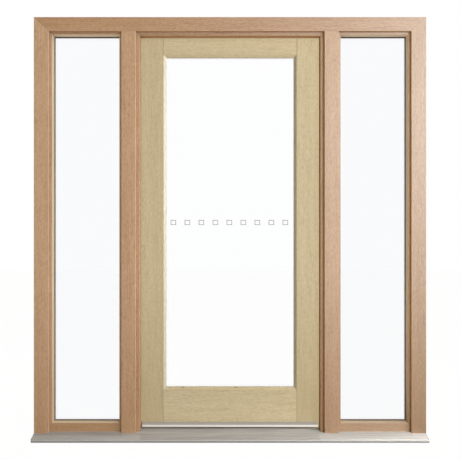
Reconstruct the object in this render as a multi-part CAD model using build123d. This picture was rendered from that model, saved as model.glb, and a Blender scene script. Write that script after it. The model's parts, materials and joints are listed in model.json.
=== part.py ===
"""An oak entrance doorset: one glazed leaf hung between two mullions, a fixed glazed sidelight each side,
and a hollow aluminium sill under all three. X runs to the right as seen from outside, Y runs into the
building from the frame's outside face, and Z runs up from the sill's underside. Sizes are millimetres."""

import os

from build123d import *

# Door leaf
LEAF_WIDTH = 915.0
LEAF_HEIGHT = 1981.0
LEAF_THICKNESS = 44.0
LEAF_FOOT = 38.0
STILE_WIDTH = 119.5
TOP_RAIL_HEIGHT = 89.5
BOTTOM_RAIL_HEIGHT = 195.0
CLOSING_EDGE_BEVEL = 2.0

# Clearances round the leaf
EDGE_GAP = 5.0
STOP_GAP = 5.0

# Frame members, as seen on their faces, and the stepped moulding on each opening's side
JAMB_FACE = 73.4
MULLION_FACE = 70.8
HEAD_FACE = 69.0
SIDELIGHT_FACE_WIDTH = 361.1
FACE_ARRIS = 1.5
STEP_DEPTH = 18.0
DOOR_LEDGE = 19.0
DOOR_LEDGE_ARRIS = 4.0
DOOR_STOP = 20.5
DOOR_STOP_DEPTH = 53.0
DOOR_REBATE = 7.2
GLAZED_LEDGE = 12.5
GLAZED_LEDGE_ARRIS = 2.0
GLAZED_STOP = 15.5
GLAZED_STOP_DEPTH = 50.0
GLAZED_REBATE = 3.0

# Sidelight's bottom rail
RAIL_FACE_TOP = 78.0

# Sill
SILL_PROJECTION = 55.0
SILL_NOSE_HEIGHT = 18.5
SILL_NOSE_ROUND = 4.0
SILL_NOSE_FOOT = 9.0
SILL_NOSE_FOOT_ROUND = 1.5
SILL_UNDERCUT = 6.0
SILL_TOP_AT_FACE = 32.0
SILL_TOP_AT_LEAF = 41.0
SILL_UPSTAND_ROUND = 1.0
SILL_GROOVE_SETBACKS = (4.5, 16.0)
SILL_GROOVE_WIDTH = 2.0
SILL_GROOVE_DEPTH = 0.8
SILL_PLATFORM = 30.0
SILL_WALL = 3.0
SILL_WEB_PITCH = 50.0
END_CAP_THICKNESS = 2.0

# Double glazing
PANE = 4.0
UNIT_GAP = 16.0
GLASS_EDGE_GAP = 3.0
SIDELIGHT_SPACER_SIGHT = 17.2
DOOR_SPACER_WIDTH = 8.0

# Glazing beads
OUTER_BEAD_WIDTH = 15.7
INNER_BEAD_WIDTH = 11.0
BEAD_SETBACK = 0.8
BEAD_LIP = 2.5
BEAD_SHOULDER = 2.0
BEAD_SHOULDER_ROUND = 1.0
BEAD_NOSE_ROUND = 0.5
SIDELIGHT_BEAD_REACH = 15.2
SIDELIGHT_BEAD_BACK_REACH = 7.0
SIDELIGHT_BEAD_LIP = 2.0
SIDELIGHT_BEAD_ROUND = 1.5

# Rain deflector on the leaf's foot
DEFLECTOR_TOP = 72.0
DEFLECTOR_REACH = 25.0
DEFLECTOR_FALL = 8.0
DEFLECTOR_LIP = 10.5
DEFLECTOR_FLANGE = 22.0
DEFLECTOR_GAUGE = 2.5
DEFLECTOR_NOSE_ROUND = 1.5
DEFLECTOR_EDGE_ROUND = 0.5
DEFLECTOR_END_GAP = 8.0

# Butt hinges on the inside
HINGE_HEIGHT = 100.0
HINGE_FLAP = 38.0
HINGE_GAUGE = 2.5
HINGE_KNUCKLES = 5
KNUCKLE_RADIUS = 6.5
KNUCKLE_GAP = 0.5
PIN_RADIUS = 3.0
PIN_CLEARANCE = 0.1
PIN_BUTTON = 3.0
PIN_BUTTON_RADIUS = 5.5
TOP_HINGE_DROP = 150.0
BOTTOM_HINGE_RISE = 225.0

# Worked out from the sizes above
LEAF_HALF = LEAF_WIDTH / 2
LEAF_TOP = LEAF_FOOT + LEAF_HEIGHT
LEAF_FRONT = DOOR_STOP_DEPTH + STOP_GAP
LEAF_BACK = LEAF_FRONT + LEAF_THICKNESS
FRAME_DEPTH = LEAF_BACK
DOOR_FACE_HALF = LEAF_HALF + EDGE_GAP + DOOR_REBATE
SIDE_INNER = DOOR_FACE_HALF + MULLION_FACE
SIDE_OUTER = SIDE_INNER + SIDELIGHT_FACE_WIDTH
HALF_WIDTH = SIDE_OUTER + JAMB_FACE
HEAD_UNDERSIDE = LEAF_TOP + EDGE_GAP + DOOR_REBATE
FRAME_TOP = HEAD_UNDERSIDE + HEAD_FACE
SIDE_FOOT = RAIL_FACE_TOP - GLAZED_LEDGE
SILL_OUTER_FALL = (SILL_TOP_AT_FACE - SILL_NOSE_HEIGHT) / SILL_PROJECTION
SILL_INNER_FALL = (SILL_TOP_AT_LEAF - SILL_TOP_AT_FACE) / DOOR_STOP_DEPTH
MITRE_REACH = 30.0
SIDELIGHT = (-SIDE_OUTER, -SIDE_INNER, SIDE_FOOT, HEAD_UNDERSIDE)
LEAF_LIGHT = (
    -LEAF_HALF + STILE_WIDTH,
    LEAF_HALF - STILE_WIDTH,
    LEAF_FOOT + BOTTOM_RAIL_HEIGHT,
    LEAF_TOP - TOP_RAIL_HEIGHT,
)
LEAF_UNIT_FRONT = LEAF_FRONT + (LEAF_THICKNESS - 2 * PANE - UNIT_GAP) / 2


def block(x0, x1, y0, y1, z0, z1):
    """A plain block between two corners."""
    centre = Pos((x0 + x1) / 2, (y0 + y1) / 2, (z0 + z1) / 2)
    return centre * Box(x1 - x0, y1 - y0, z1 - z0)


def outline(points):
    """A flat face from (point, corner radius) pairs."""
    corners = [point for point, radius in points]
    rounds = [radius for point, radius in points]
    return make_face(FilletPolyline(*corners, radius=rounds, close=True))


def upright(section, foot, top):
    """A section of ((x, y), radius) pairs, drawn up from one height to another."""
    points = [((x, y, foot), radius) for (x, y), radius in section]
    return extrude(outline(points), amount=top - foot, dir=(0, 0, 1))


def level(section, left, right):
    """A section of ((y, z), radius) pairs, drawn along X."""
    points = [((left, y, z), radius) for (y, z), radius in section]
    return extrude(outline(points), amount=right - left, dir=(1, 0, 0))


def region(points):
    """What lies behind a shape drawn on the elevation, through the whole depth."""
    corners = [(x, -SILL_PROJECTION, z) for x, z in points]
    face = make_face(Polyline(*corners, close=True))
    return extrude(face, amount=SILL_PROJECTION + FRAME_DEPTH, dir=(0, 1, 0))


def door_side():
    """The moulding on the door's side of a member, as (reach into the opening, depth, radius)."""
    return [
        (0, 0, FACE_ARRIS),
        (0, STEP_DEPTH, 0),
        (DOOR_LEDGE, STEP_DEPTH, DOOR_LEDGE_ARRIS),
        (DOOR_STOP, DOOR_STOP_DEPTH, 0),
        (DOOR_REBATE, DOOR_STOP_DEPTH, 0),
        (DOOR_REBATE, FRAME_DEPTH, 0),
    ]


def glazed_side():
    """The moulding on a sidelight's side of a member."""
    return [
        (0, 0, FACE_ARRIS),
        (0, STEP_DEPTH, 0),
        (GLAZED_LEDGE, STEP_DEPTH, GLAZED_LEDGE_ARRIS),
        (GLAZED_STOP, GLAZED_STOP_DEPTH, 0),
        (GLAZED_REBATE, GLAZED_STOP_DEPTH, 0),
        (GLAZED_REBATE, FRAME_DEPTH, 0),
    ]


def sill_surface(depth):
    """The height of the sill's sloped top, which falls faster outside the frame's face."""
    fall = SILL_OUTER_FALL if depth < 0 else SILL_INNER_FALL
    return SILL_TOP_AT_FACE + fall * depth


def sill_outline():
    """The sill's outer shape: undercut drip nose, sloped top, and a platform under the leaf."""
    return [
        ((-SILL_PROJECTION + SILL_UNDERCUT, 0), 0),
        ((-SILL_PROJECTION, SILL_NOSE_FOOT), SILL_NOSE_FOOT_ROUND),
        ((-SILL_PROJECTION, SILL_NOSE_HEIGHT), SILL_NOSE_ROUND),
        ((0, SILL_TOP_AT_FACE), 0),
        ((DOOR_STOP_DEPTH, SILL_TOP_AT_LEAF), SILL_UPSTAND_ROUND),
        ((DOOR_STOP_DEPTH, SILL_PLATFORM), 0),
        ((FRAME_DEPTH, SILL_PLATFORM), 0),
        ((FRAME_DEPTH, 0), 0),
    ]


def sill_envelope():
    """The space the sill takes, which every foot is scribed to."""
    return level(sill_outline(), -HALF_WIDTH, HALF_WIDTH)


def sill_chambers():
    """The long hollows inside the extrusion, parted by upright webs."""
    hollow_end = DOOR_STOP_DEPTH - SILL_WALL
    left = -HALF_WIDTH
    right = HALF_WIDTH
    chambers = []
    front = -SILL_PROJECTION + SILL_UNDERCUT + SILL_WALL
    while front < hollow_end - SILL_WALL:
        back = min(front + SILL_WEB_PITCH - SILL_WALL, hollow_end)
        section = [
            ((front, SILL_WALL), 0),
            ((front, sill_surface(front) - SILL_WALL), 0),
            ((back, sill_surface(back) - SILL_WALL), 0),
            ((back, SILL_WALL), 0),
        ]
        chambers.append(level(section, left, right))
        front = back + SILL_WALL
    platform = [
        ((DOOR_STOP_DEPTH, SILL_WALL), 0),
        ((DOOR_STOP_DEPTH, SILL_PLATFORM - SILL_WALL), 0),
        ((FRAME_DEPTH - SILL_WALL, SILL_PLATFORM - SILL_WALL), 0),
        ((FRAME_DEPTH - SILL_WALL, SILL_WALL), 0),
    ]
    chambers.append(level(platform, left, right))
    return chambers


def sill_grooves():
    """Shallow grooves along the sloped top, just behind the nose."""
    grooves = []
    for setback in SILL_GROOVE_SETBACKS:
        front = -SILL_PROJECTION + setback
        bottom = sill_surface(front) - SILL_GROOVE_DEPTH
        top = sill_surface(front) + SILL_GROOVE_WIDTH
        grooves.append(block(-HALF_WIDTH, HALF_WIDTH, front, front + SILL_GROOVE_WIDTH, bottom, top))
    return grooves


def make_sill():
    """The hollow extrusion, cut square and short enough for a cap on each end."""
    body = level(sill_outline(), -HALF_WIDTH + END_CAP_THICKNESS, HALF_WIDTH - END_CAP_THICKNESS)
    for hollow in sill_chambers() + sill_grooves():
        body -= hollow
    return body


def make_end_caps():
    """A flat plate that shuts each end of the sill."""
    cap = level(sill_outline(), -HALF_WIDTH, -HALF_WIDTH + END_CAP_THICKNESS)
    return Compound([cap, mirror(cap, about=Plane.YZ)])


def make_jamb():
    """The left jamb, mitred at its head and scribed over the sill."""
    side = [((-SIDE_OUTER + u, d), r) for u, d, r in glazed_side()]
    section = [((-HALF_WIDTH, 0), 0)] + side + [((-HALF_WIDTH, FRAME_DEPTH), 0)]
    space = region(
        [
            (-HALF_WIDTH, 0),
            (-SIDE_OUTER, 0),
            (-SIDE_OUTER, SIDE_FOOT),
            (-SIDE_OUTER + MITRE_REACH, SIDE_FOOT + MITRE_REACH),
            (-SIDE_OUTER + MITRE_REACH, HEAD_UNDERSIDE - MITRE_REACH),
            (-SIDE_OUTER, HEAD_UNDERSIDE),
            (-HALF_WIDTH, FRAME_TOP),
        ]
    )
    return (upright(section, 0, FRAME_TOP) & space) - sill_envelope()


def make_mullion():
    """The left mullion: the sidelight's moulding on one side and the door's stop on the other."""
    glazed = [((-SIDE_INNER - u, d), r) for u, d, r in glazed_side()]
    door = [((-DOOR_FACE_HALF + u, d), r) for u, d, r in door_side()]
    section = door + glazed[::-1]
    space = region(
        [
            (-SIDE_INNER, 0),
            (-DOOR_FACE_HALF + MITRE_REACH, 0),
            (-DOOR_FACE_HALF + MITRE_REACH, HEAD_UNDERSIDE - MITRE_REACH),
            (-DOOR_FACE_HALF, HEAD_UNDERSIDE),
            (-SIDE_INNER, HEAD_UNDERSIDE),
            (-SIDE_INNER - MITRE_REACH, HEAD_UNDERSIDE - MITRE_REACH),
            (-SIDE_INNER - MITRE_REACH, SIDE_FOOT + MITRE_REACH),
            (-SIDE_INNER, SIDE_FOOT),
        ]
    )
    return (upright(section, 0, FRAME_TOP) & space) - sill_envelope()


def head_length(side, left, right, left_end, right_end):
    """One stretch of the head over one opening, with the corners of its moulding mitred."""
    section = [((d, HEAD_UNDERSIDE - u), r) for u, d, r in side]
    section = [((0, FRAME_TOP), 0)] + section + [((FRAME_DEPTH, FRAME_TOP), 0)]
    space = region(
        [
            left_end,
            (left_end[0], HEAD_UNDERSIDE),
            (left, HEAD_UNDERSIDE),
            (left + MITRE_REACH, HEAD_UNDERSIDE - MITRE_REACH),
            (right - MITRE_REACH, HEAD_UNDERSIDE - MITRE_REACH),
            (right, HEAD_UNDERSIDE),
            (right_end[0], HEAD_UNDERSIDE),
            right_end,
        ]
    )
    return level(section, left_end[0], right_end[0]) & space


def make_head():
    """The head in one length, with its ends mitred to the jambs and the mullions butted under it."""
    middle = (SIDE_INNER + DOOR_FACE_HALF) / 2
    over_door = head_length(
        door_side(), -DOOR_FACE_HALF, DOOR_FACE_HALF, (-middle, FRAME_TOP), (middle, FRAME_TOP)
    )
    over_side = head_length(
        glazed_side(), -SIDE_OUTER, -SIDE_INNER, (-HALF_WIDTH, FRAME_TOP), (-middle, FRAME_TOP)
    )
    jamb_corner = region(
        [(-HALF_WIDTH, FRAME_TOP), (-SIDE_OUTER, HEAD_UNDERSIDE), (-HALF_WIDTH, HEAD_UNDERSIDE)]
    )
    over_side -= jamb_corner
    return over_door + over_side + mirror(over_side, about=Plane.YZ)


def make_sidelight_rail():
    """The left sidelight's bottom rail, set back to the moulding's ledge and standing on the sill."""
    moulding = [((d, SIDE_FOOT + u), r) for u, d, r in glazed_side()[2:]]
    section = [((STEP_DEPTH, 0), 0)] + moulding + [((FRAME_DEPTH, 0), 0)]
    space = region(
        [
            (-SIDE_OUTER, 0),
            (-SIDE_INNER, 0),
            (-SIDE_INNER, SIDE_FOOT),
            (-SIDE_INNER - MITRE_REACH, SIDE_FOOT + MITRE_REACH),
            (-SIDE_OUTER + MITRE_REACH, SIDE_FOOT + MITRE_REACH),
            (-SIDE_OUTER, SIDE_FOOT),
        ]
    )
    return (level(section, -SIDE_OUTER, -SIDE_INNER) & space) - sill_envelope()


def mitred_ring(light, section):
    """Four lengths of one section round an opening, mitred at the corners: two uprights, two levels."""
    left, right, foot, top = light
    half = (right - left) / 2
    middle = (left + right) / 2
    left_space = region([(left, foot), (middle, foot + half), (middle, top - half), (left, top)])
    foot_space = region([(left, foot), (right, foot), (middle, foot + half)])
    top_space = region([(left, top), (middle, top - half), (right, top)])
    centre_plane = Plane.YZ.offset(middle)
    upright_left = upright([((left + u, d), r) for u, d, r in section], foot, top) & left_space
    level_foot = level([((d, foot + u), r) for u, d, r in section], left, right) & foot_space
    level_top = level([((d, top - u), r) for u, d, r in section], left, right) & top_space
    uprights = Compound([upright_left, mirror(upright_left, about=centre_plane)])
    return uprights, Compound([level_foot, level_top])


def glazing_unit(light, front, edge, spacer_sight):
    """Two panes and the spacer bar between them, filling an opening down to its edge clearance."""
    left, right, foot, top = light
    outer_edge = (left + edge, right - edge, foot + edge, top - edge)
    gap_front = front + PANE
    gap_back = gap_front + UNIT_GAP
    x0, x1, z0, z1 = outer_edge
    outer = block(x0, x1, front, gap_front, z0, z1)
    inner = block(x0, x1, gap_back, gap_back + PANE, z0, z1)
    spacer = block(x0, x1, gap_front, gap_back, z0, z1)
    spacer -= block(
        left + spacer_sight,
        right - spacer_sight,
        gap_front,
        gap_back,
        foot + spacer_sight,
        top - spacer_sight,
    )
    return outer, spacer, inner


def sidelight_bead():
    """The splayed bead that holds a sidelight's unit from the inside."""
    front = GLAZED_STOP_DEPTH + 2 * PANE + UNIT_GAP
    return [
        (GLAZED_REBATE, front, 0),
        (SIDELIGHT_BEAD_REACH, front, 0),
        (SIDELIGHT_BEAD_REACH, front + SIDELIGHT_BEAD_LIP, SIDELIGHT_BEAD_ROUND),
        (SIDELIGHT_BEAD_BACK_REACH, FRAME_DEPTH, SIDELIGHT_BEAD_ROUND),
        (GLAZED_REBATE, FRAME_DEPTH, 0),
    ]


def leaf_bead(width):
    """A sloped bead round the leaf's glass, as it lies on the outside."""
    return [
        (0, LEAF_FRONT + BEAD_SETBACK, 0),
        (BEAD_SHOULDER, LEAF_FRONT + BEAD_SETBACK, BEAD_SHOULDER_ROUND),
        (width, LEAF_UNIT_FRONT - BEAD_LIP, BEAD_NOSE_ROUND),
        (width, LEAF_UNIT_FRONT, 0),
        (0, LEAF_UNIT_FRONT, 0),
    ]


def leaf_outer_bead():
    """The wide bead on the outside."""
    return leaf_bead(OUTER_BEAD_WIDTH)


def leaf_inner_bead():
    """The narrower bead on the inside, turned to face the room."""
    middle = LEAF_FRONT + LEAF_BACK
    return [(u, middle - d, r) for u, d, r in leaf_bead(INNER_BEAD_WIDTH)]


def make_stile(closing):
    """One full-height stile. The closing one's edge is bevelled so that it swings clear."""
    inner = LEAF_HALF - STILE_WIDTH
    bevel = CLOSING_EDGE_BEVEL if closing else 0
    side = 1 if closing else -1
    section = [
        ((side * inner, LEAF_FRONT), 0),
        ((side * (LEAF_HALF - bevel), LEAF_FRONT), 0),
        ((side * LEAF_HALF, LEAF_BACK), 0),
        ((side * inner, LEAF_BACK), 0),
    ]
    return upright(section, LEAF_FOOT, LEAF_TOP)


def make_leaf_rail(foot, top):
    """A rail between the stiles."""
    inner = LEAF_HALF - STILE_WIDTH
    return block(-inner, inner, LEAF_FRONT, LEAF_BACK, foot, top)


def make_rain_deflector():
    """The aluminium strip across the leaf's foot: a sloped top, a front lip and a flange on the rail."""
    nose = LEAF_FRONT - DEFLECTOR_REACH
    nose_top = DEFLECTOR_TOP - DEFLECTOR_FALL
    slope = DEFLECTOR_FALL / DEFLECTOR_REACH
    half = DOOR_FACE_HALF - DOOR_STOP - DEFLECTOR_END_GAP
    flange = LEAF_FRONT - DEFLECTOR_GAUGE
    under = DEFLECTOR_GAUGE * (1 - slope)
    section = [
        ((LEAF_FRONT, DEFLECTOR_TOP), 0),
        ((nose, nose_top), DEFLECTOR_NOSE_ROUND),
        ((nose, nose_top - DEFLECTOR_LIP), DEFLECTOR_EDGE_ROUND),
        ((nose + DEFLECTOR_GAUGE, nose_top - DEFLECTOR_LIP), DEFLECTOR_EDGE_ROUND),
        ((nose + DEFLECTOR_GAUGE, nose_top - under), 0),
        ((flange, DEFLECTOR_TOP - DEFLECTOR_GAUGE * (1 + slope)), 0),
        ((flange, DEFLECTOR_TOP - DEFLECTOR_FLANGE), DEFLECTOR_EDGE_ROUND),
        ((LEAF_FRONT, DEFLECTOR_TOP - DEFLECTOR_FLANGE), 0),
    ]
    return level(section, -half, half)


HINGE_X = -LEAF_HALF - EDGE_GAP / 2
HINGE_Y = LEAF_BACK + KNUCKLE_RADIUS
HINGE_FOOTS = [
    LEAF_FOOT + BOTTOM_HINGE_RISE,
    LEAF_FOOT + (LEAF_HEIGHT + BOTTOM_HINGE_RISE - TOP_HINGE_DROP - HINGE_HEIGHT) / 2,
    LEAF_TOP - TOP_HINGE_DROP - HINGE_HEIGHT,
]


def knuckles(foot, moving):
    """The barrel lengths that one flap carries: the odd ones move with the leaf."""
    pitch = HINGE_HEIGHT / HINGE_KNUCKLES
    bore = PIN_RADIUS + (PIN_CLEARANCE if moving else 0)
    lengths = []
    for number in range(HINGE_KNUCKLES):
        if (number % 2 == 1) != moving:
            continue
        low = foot + number * pitch + KNUCKLE_GAP / 2
        barrel = Cylinder(KNUCKLE_RADIUS, pitch - KNUCKLE_GAP) - Cylinder(bore, pitch)
        lengths.append(Pos(HINGE_X, HINGE_Y, low + (pitch - KNUCKLE_GAP) / 2) * barrel)
    return lengths


def hinge_flap(foot, moving):
    """One flap, let in flush, with its knuckles on the inside of the door."""
    side = 1 if moving else -1
    near = HINGE_X + side * EDGE_GAP / 2
    far = near + side * HINGE_GAUGE
    bore = PIN_RADIUS + PIN_CLEARANCE
    flap = block(
        min(near, far), max(near, far), LEAF_BACK - HINGE_FLAP, HINGE_Y, foot, foot + HINGE_HEIGHT
    )
    flap -= Pos(HINGE_X, HINGE_Y, foot + HINGE_HEIGHT / 2) * Cylinder(bore, HINGE_HEIGHT)
    pitch = HINGE_HEIGHT / HINGE_KNUCKLES
    for number in range(HINGE_KNUCKLES):
        if (number % 2 == 1) == moving:
            continue
        low = foot + number * pitch
        relief = Cylinder(KNUCKLE_RADIUS + KNUCKLE_GAP, pitch + KNUCKLE_GAP)
        flap -= Pos(HINGE_X, HINGE_Y, low + pitch / 2) * relief
    for barrel in knuckles(foot, moving):
        flap += barrel
    return flap


def flap_recess(moving):
    """The pockets that the flaps are let into, one for each hinge."""
    side = 1 if moving else -1
    near = HINGE_X + side * EDGE_GAP / 2
    far = near + side * HINGE_GAUGE
    pockets = []
    for foot in HINGE_FOOTS:
        pocket = block(
            min(near, far), max(near, far), LEAF_BACK - HINGE_FLAP, LEAF_BACK, foot, foot + HINGE_HEIGHT
        )
        pockets.append(pocket)
    return pockets


def hinge_pin(foot):
    """A pin the height of the hinge with a round button at each end."""
    centre = foot + HINGE_HEIGHT / 2
    pin = Pos(HINGE_X, HINGE_Y, centre) * Cylinder(PIN_RADIUS, HINGE_HEIGHT)
    for end in (-1, 1):
        height = centre + end * (HINGE_HEIGHT + PIN_BUTTON) / 2
        button = Pos(HINGE_X, HINGE_Y, height) * Cylinder(PIN_BUTTON_RADIUS, PIN_BUTTON)
        pin += button
    return pin


def save(name, shape):
    """Write one node."""
    export_step(shape, f"parts/{name}.step")


def save_pair(name, shape):
    """Write a left-hand piece and its mirror image."""
    save(f"{name}_left", shape)
    save(f"{name}_right", mirror(shape, about=Plane.YZ))


def build_frame():
    """Everything that stays fixed in the wall."""
    save("sill", make_sill())
    save("sill_end_caps", make_end_caps())
    save_pair("jamb", make_jamb())
    mullion = make_mullion()
    hinge_mullion = mullion
    for pocket in flap_recess(False):
        hinge_mullion -= pocket
    save("mullion_left", hinge_mullion)
    save("mullion_right", mirror(mullion, about=Plane.YZ))
    save("head", make_head())
    save_pair("sidelight_rail", make_sidelight_rail())
    pane, spacer, inner_pane = glazing_unit(
        SIDELIGHT, GLAZED_STOP_DEPTH, GLAZED_REBATE + GLASS_EDGE_GAP, SIDELIGHT_SPACER_SIGHT
    )
    save_pair("sidelight_outer_pane", pane)
    save_pair("sidelight_spacer", spacer)
    save_pair("sidelight_inner_pane", inner_pane)
    uprights, levels = mitred_ring(SIDELIGHT, sidelight_bead())
    save_pair("sidelight_upright_beads", uprights)
    save_pair("sidelight_level_beads", levels)
    save("hinge_frame_flaps", Compound([hinge_flap(foot, False) for foot in HINGE_FOOTS]))
    save("hinge_pins", Compound([hinge_pin(foot) for foot in HINGE_FOOTS]))


def build_leaf():
    """Everything that swings."""
    hinge_stile = make_stile(False)
    for pocket in flap_recess(True):
        hinge_stile -= pocket
    save("leaf_hinge_stile", hinge_stile)
    save("leaf_closing_stile", make_stile(True))
    save("leaf_top_rail", make_leaf_rail(LEAF_TOP - TOP_RAIL_HEIGHT, LEAF_TOP))
    save("leaf_bottom_rail", make_leaf_rail(LEAF_FOOT, LEAF_FOOT + BOTTOM_RAIL_HEIGHT))
    sight = GLASS_EDGE_GAP + DOOR_SPACER_WIDTH
    pane, spacer, inner_pane = glazing_unit(LEAF_LIGHT, LEAF_UNIT_FRONT, GLASS_EDGE_GAP, sight)
    save("leaf_outer_pane", pane)
    save("leaf_spacer", spacer)
    save("leaf_inner_pane", inner_pane)
    uprights, levels = mitred_ring(LEAF_LIGHT, leaf_outer_bead())
    save("leaf_outer_upright_beads", uprights)
    save("leaf_outer_level_beads", levels)
    uprights, levels = mitred_ring(LEAF_LIGHT, leaf_inner_bead())
    save("leaf_inner_upright_beads", uprights)
    save("leaf_inner_level_beads", levels)
    save("leaf_rain_deflector", make_rain_deflector())
    save("hinge_leaf_flaps", Compound([hinge_flap(foot, True) for foot in HINGE_FOOTS]))


os.makedirs("parts", exist_ok=True)
build_frame()
build_leaf()
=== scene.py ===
import json
import math

import bpy
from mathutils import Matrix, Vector

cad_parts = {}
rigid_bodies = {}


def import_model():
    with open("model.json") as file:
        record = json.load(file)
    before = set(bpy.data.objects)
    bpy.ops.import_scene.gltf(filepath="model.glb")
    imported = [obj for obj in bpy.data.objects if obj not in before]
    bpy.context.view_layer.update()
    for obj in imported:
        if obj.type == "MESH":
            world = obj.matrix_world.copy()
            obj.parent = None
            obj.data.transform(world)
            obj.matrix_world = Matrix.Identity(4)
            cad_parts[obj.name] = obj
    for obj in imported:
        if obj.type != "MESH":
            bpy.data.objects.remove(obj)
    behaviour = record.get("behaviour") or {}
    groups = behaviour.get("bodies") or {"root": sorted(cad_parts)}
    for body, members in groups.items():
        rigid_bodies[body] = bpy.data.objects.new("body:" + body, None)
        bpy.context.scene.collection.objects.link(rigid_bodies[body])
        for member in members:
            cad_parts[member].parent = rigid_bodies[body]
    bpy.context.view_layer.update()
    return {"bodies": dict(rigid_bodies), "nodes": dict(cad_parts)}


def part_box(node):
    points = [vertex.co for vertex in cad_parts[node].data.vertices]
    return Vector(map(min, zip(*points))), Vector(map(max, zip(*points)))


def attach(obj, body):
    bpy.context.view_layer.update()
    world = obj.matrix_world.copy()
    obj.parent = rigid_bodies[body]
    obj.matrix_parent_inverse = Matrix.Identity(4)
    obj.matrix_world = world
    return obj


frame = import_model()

# The sill
# One hollow aluminium extrusion runs under the whole frame, with a sloped top, a round nose and a flat cap
# on each end. It is mill finished, so it is a warm satin grey with fine die lines along its length.


class Link:
    """A node's output. Sums and products of it add Math nodes."""

    def __init__(self, finish, socket):
        self.finish = finish
        self.socket = socket

    def maths(self, operation, *values, clamp=False):
        settings = {"operation": operation, "use_clamp": clamp}
        return self.finish.node("ShaderNodeMath", settings, dict(enumerate(values)))

    def __add__(self, other):
        return self.maths("ADD", self, other)

    def __radd__(self, other):
        return self.maths("ADD", other, self)

    def __sub__(self, other):
        return self.maths("SUBTRACT", self, other)

    def __rsub__(self, other):
        return self.maths("SUBTRACT", other, self)

    def __mul__(self, other):
        return self.maths("MULTIPLY", self, other)

    def __rmul__(self, other):
        return self.maths("MULTIPLY", other, self)

    def __truediv__(self, other):
        return self.maths("DIVIDE", self, other)

    def __abs__(self):
        return self.maths("ABSOLUTE", self)

    def clamped(self):
        return self.maths("ADD", self, 0.0, clamp=True)


class Finish:
    """A material on one Principled shader, with one way to add any node."""

    def __init__(self, name):
        self.material = bpy.data.materials.new(name)
        self.material.use_nodes = True
        self.tree = self.material.node_tree
        self.tree.nodes.clear()

    def node(self, kind, settings=None, sockets=None, output=0):
        made = self.tree.nodes.new(kind)
        for name, value in (settings or {}).items():
            if name == "stops":
                ramp = made.color_ramp
                while len(ramp.elements) < len(value):
                    ramp.elements.new(0.5)
                for element, (place, colour) in zip(ramp.elements, value):
                    element.position = place
                    element.color = colour
            else:
                setattr(made, name, value)
        for key, value in (sockets or {}).items():
            if isinstance(value, Link):
                self.tree.links.new(value.socket, made.inputs[key])
            else:
                made.inputs[key].default_value = value
        return Link(self, made.outputs[output]) if made.outputs else None

    def place(self, offset=(0, 0, 0), turn=(0, 0, 0), stretch=(1, 1, 1)):
        where = self.node("ShaderNodeTexCoord", output="Object")
        sockets = {"Vector": where, "Location": offset, "Rotation": turn, "Scale": stretch}
        return self.node("ShaderNodeMapping", {"vector_type": "POINT"}, sockets)

    def part_of(self, output, axis):
        """One part of the place or the normal on the piece itself: its X, Y or Z."""
        where = self.node("ShaderNodeTexCoord", output=output)
        split = self.node("ShaderNodeSeparateXYZ", None, {"Vector": where})
        return Link(self, split.socket.node.outputs[axis])

    def noise(self, vector, scale, detail=2.0, roughness=0.5):
        sockets = {"Vector": vector, "Scale": scale, "Detail": detail, "Roughness": roughness}
        return self.node("ShaderNodeTexNoise", None, sockets)

    def stretched(self, vector, stretch):
        return self.node("ShaderNodeMapping", {"vector_type": "POINT"}, {"Vector": vector, "Scale": stretch})

    def ramp(self, factor, stops):
        return self.node("ShaderNodeValToRGB", {"stops": stops}, {"Fac": factor})

    def mix(self, factor, first, second):
        return self.node("ShaderNodeMix", {"data_type": "RGBA"}, {0: factor, 6: first, 7: second}, output=2)

    def bump(self, height, distance, strength=1.0):
        sockets = {"Height": height, "Distance": distance, "Strength": strength}
        return self.node("ShaderNodeBump", None, sockets)

    def shader(self, **sockets):
        named = {key.replace("_", " "): value for key, value in sockets.items()}
        return self.node("ShaderNodeBsdfPrincipled", None, named, output="BSDF")

    def done(self, **sockets):
        return self.node_output(self.shader(**sockets))

    def node_output(self, surface):
        self.node("ShaderNodeOutputMaterial", None, {"Surface": surface})
        return self.material


def paint(red, green, blue):
    """A colour as it looks on a screen, 0 to 255, as the light that it stands for."""
    return tuple((value / 255) ** 2.2 for value in (red, green, blue)) + (1.0,)


def dress(name, material):
    """Gives a carried-over piece its finish."""
    slots = frame["nodes"][name].data.materials
    slots.clear()
    slots.append(material)


DIE_LINE_STRETCH = (0.4, 60, 60)
DRAWN_BAND_STRETCH = (2, 150, 150)
METAL_CLOUD_STRETCH = (1, 3, 3)
METAL_CLOUD_SCALE = 7.0
MOTTLE_SCALE = 110.0
SPECK_SCALE = 420.0
SPECK_TONE = paint(150, 122, 92)
MILL_ROUGHNESS = 0.42
MILL_METAL = 0.15
DIE_LINE_DEPTH = 0.00025


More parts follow.
